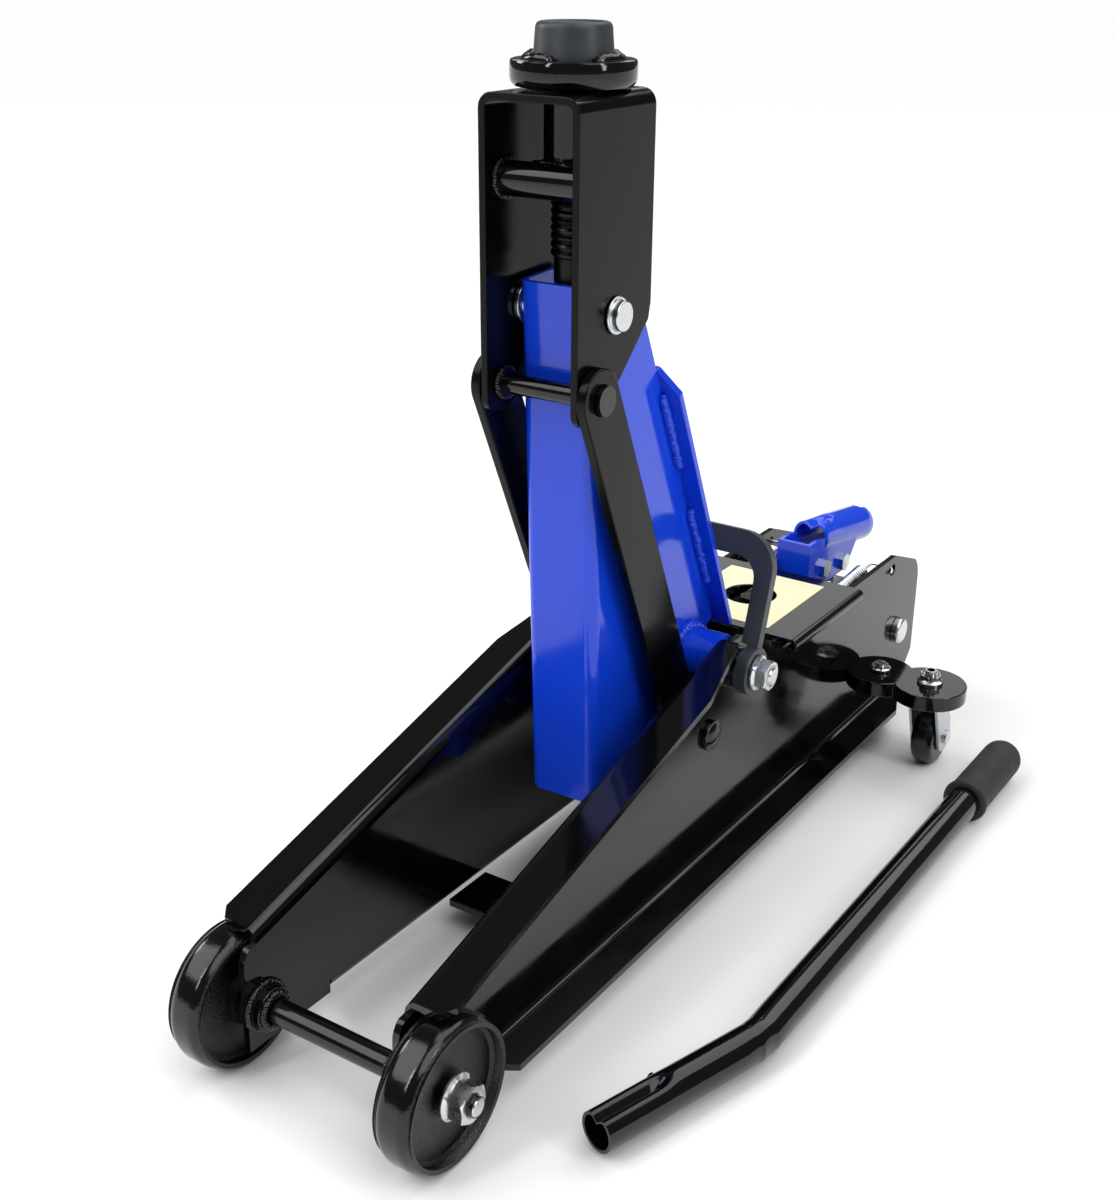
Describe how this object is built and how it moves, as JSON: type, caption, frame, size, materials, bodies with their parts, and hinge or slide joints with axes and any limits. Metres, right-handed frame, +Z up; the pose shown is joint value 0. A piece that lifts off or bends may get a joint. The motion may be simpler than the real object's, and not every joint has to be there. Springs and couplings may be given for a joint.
{
  "type": "car jack",
  "caption": "Long-reach hydraulic trolley jack on rollers and casters, raised, with a lifting arm, screw-extension saddle, pump socket and a loose bent pump bar.",
  "frame": {"origin": "on the floor, under the middle of the footprint of the jack and its loose bar", "axes": "+Z up; +Y from the front wheels to the rear casters, along the frame; +X to the jack's side where the loose bar lies"},
  "size_m": [0.3185, 0.6675, 0.5198],
  "materials": {
    "black_paint": "gloss black enamel",
    "blue_paint": "gloss blue enamel",
    "wheel_paint": "gloss black over cast iron",
    "zinc_plate": "bright zinc plate",
    "bare_steel": "oiled dark steel",
    "slate_paint": "satin slate enamel",
    "caster_plastic": "satin moulded wheel",
    "pad_rubber": "moulded rubber",
    "grip_rubber": "soft matt sleeve",
    "red_plastic": "moulded cap",
    "label_film": "printed film, left blank"
  },
  "bodies": {
    "frame": {"side_plate_left": "black_paint", "side_plate_right": "black_paint", "front_tie_plate": "black_paint", "rear_tie_plate": "black_paint", "front_axle": "black_paint", "axle_collars": "black_paint", "axle_nuts": "zinc_plate", "main_axle": "zinc_plate", "pivot_bosses": "black_paint", "main_axle_nuts": "zinc_plate", "link_pivot_pins": "black_paint", "cover_plate": "black_paint", "cover_label": "label_film", "pump_block": "black_paint", "trunnion_bolts": "zinc_plate", "cylinder": "bare_steel", "reservoir": "black_paint", "gland_nut": "black_paint", "filler_plug": "bare_steel", "safety_cap": "red_plastic", "return_spring_left": "zinc_plate", "return_spring_right": "zinc_plate", "pump_spring": "zinc_plate", "caster_bracket_left": "black_paint", "caster_bracket_right": "black_paint", "caster_bolts": "zinc_plate"},
    "front_wheel_left": {"front_wheel_left": "wheel_paint"},
    "front_wheel_right": {"front_wheel_right": "wheel_paint"},
    "arm": {"arm_channel": "blue_paint", "arm_back_plate": "blue_paint", "arm_pivot_tube": "blue_paint", "arm_levers": "blue_paint", "lever_roller": "zinc_plate", "head_pivot_pin": "zinc_plate"},
    "links": {"link_bars": "black_paint"},
    "head": {"lift_head": "black_paint", "link_cross_rod": "black_paint", "screw_sleeve": "black_paint", "head_crossbar": "black_paint"},
    "screw": {"lift_screw": "bare_steel"},
    "saddle": {"saddle_cup": "black_paint", "saddle_pad": "pad_rubber"},
    "ram": {"ram": "zinc_plate", "ram_seal": "pad_rubber", "ram_crosshead": "black_paint"},
    "socket": {"socket_tube": "blue_paint", "socket_bracket": "blue_paint", "socket_pins": "zinc_plate"},
    "plunger": {"pump_plunger": "zinc_plate"},
    "release_valve": {"release_valve": "zinc_plate"},
    "carry_handle": {"carry_handle": "slate_paint"},
    "caster_left": {"caster_fork_left": "zinc_plate", "caster_pin_left": "zinc_plate"},
    "caster_right": {"caster_fork_right": "zinc_plate", "caster_pin_right": "zinc_plate"},
    "caster_wheel_left": {"caster_wheel_left": "caster_plastic"},
    "caster_wheel_right": {"caster_wheel_right": "caster_plastic"},
    "bar": {"pump_bar": "black_paint", "bar_grip": "grip_rubber", "bar_stub_pin": "black_paint"}
  },
  "joints": [
    {"name": "arm_lift", "type": "hinge", "parent": "frame", "child": "arm", "pos_m": [-0.02125, 0.01875, 0.144], "axis": [-1, 0, 0], "range_deg": [-84, 0]},
    {"name": "links_turn", "type": "hinge", "parent": "frame", "child": "links", "pos_m": [-0.02125, -0.00195, 0.1042], "axis": [-1, 0, 0], "range_deg": [-84, 0]},
    {"name": "head_level", "type": "hinge", "parent": "arm", "child": "head", "pos_m": [-0.02125, -0.08538, 0.37787], "axis": [-1, 0, 0], "range_deg": [0, 84]},
    {"name": "ram_slide", "type": "slide", "parent": "frame", "child": "ram", "axis": [0, 1, 0], "range_m": [0, 0.06979], "deforming": ["return_spring_left", "return_spring_right"]},
    {"name": "screw_extend", "type": "slide", "parent": "head", "child": "screw", "axis": [0, 0, 1], "range_m": [0, 0.045]},
    {"name": "saddle_turn", "type": "hinge", "parent": "screw", "child": "saddle", "pos_m": [-0.02125, -0.08088, 0.48827], "axis": [0, 0, 1], "continuous": true},
    {"name": "front_wheel_left_roll", "type": "hinge", "parent": "frame", "child": "front_wheel_left", "pos_m": [-0.08975, -0.29325, 0.0405], "axis": [1, 0, 0], "continuous": true},
    {"name": "caster_left_swivel", "type": "hinge", "parent": "frame", "child": "caster_left", "pos_m": [-0.13325, 0.21875, 0.055], "axis": [0, 0, 1], "continuous": true},
    {"name": "caster_left_roll", "type": "hinge", "parent": "caster_left", "child": "caster_wheel_left", "pos_m": [-0.13325, 0.23175, 0.022], "axis": [1, 0, 0], "continuous": true},
    {"name": "front_wheel_right_roll", "type": "hinge", "parent": "frame", "child": "front_wheel_right", "pos_m": [0.04725, -0.29325, 0.0405], "axis": [1, 0, 0], "continuous": true},
    {"name": "caster_right_swivel", "type": "hinge", "parent": "frame", "child": "caster_right", "pos_m": [0.09075, 0.21875, 0.055], "axis": [0, 0, 1], "continuous": true},
    {"name": "caster_right_roll", "type": "hinge", "parent": "caster_right", "child": "caster_wheel_right", "pos_m": [0.09075, 0.23175, 0.022], "axis": [1, 0, 0], "continuous": true},
    {"name": "carry_handle_fold", "type": "hinge", "parent": "frame", "child": "carry_handle", "pos_m": [-0.02125, 0.01875, 0.144], "axis": [-1, 0, 0], "range_deg": [0, 70]},
    {"name": "socket_pump", "type": "hinge", "parent": "frame", "child": "socket", "pos_m": [-0.02125, 0.24175, 0.126], "axis": [1, 0, 0], "range_deg": [-4, 45]},
    {"name": "plunger_slide", "type": "slide", "parent": "frame", "child": "plunger", "axis": [0, 0, 1], "range_m": [-0.0025, 0.0256], "deforming": ["pump_spring"]},
    {"name": "release_turn", "type": "hinge", "parent": "frame", "child": "release_valve", "pos_m": [-0.02125, 0.30675, 0.047], "axis": [0, 1, 0], "range_deg": [0, 180]},
    {"name": "bar_lift", "type": "slide", "parent": "frame", "child": "bar", "axis": [0, 0, 1], "range_m": [0, 0.3]}
  ],
  "couplings": [
    {"joint": "links_turn", "follows": "arm_lift", "ratio": 1},
    {"joint": "head_level", "follows": "arm_lift", "ratio": -1},
    {"joint": "ram_slide", "follows": "arm_lift", "m_per_rad": -0.047467},
    {"joint": "plunger_slide", "follows": "socket_pump", "m_per_rad": 0.032217}
  ]
}
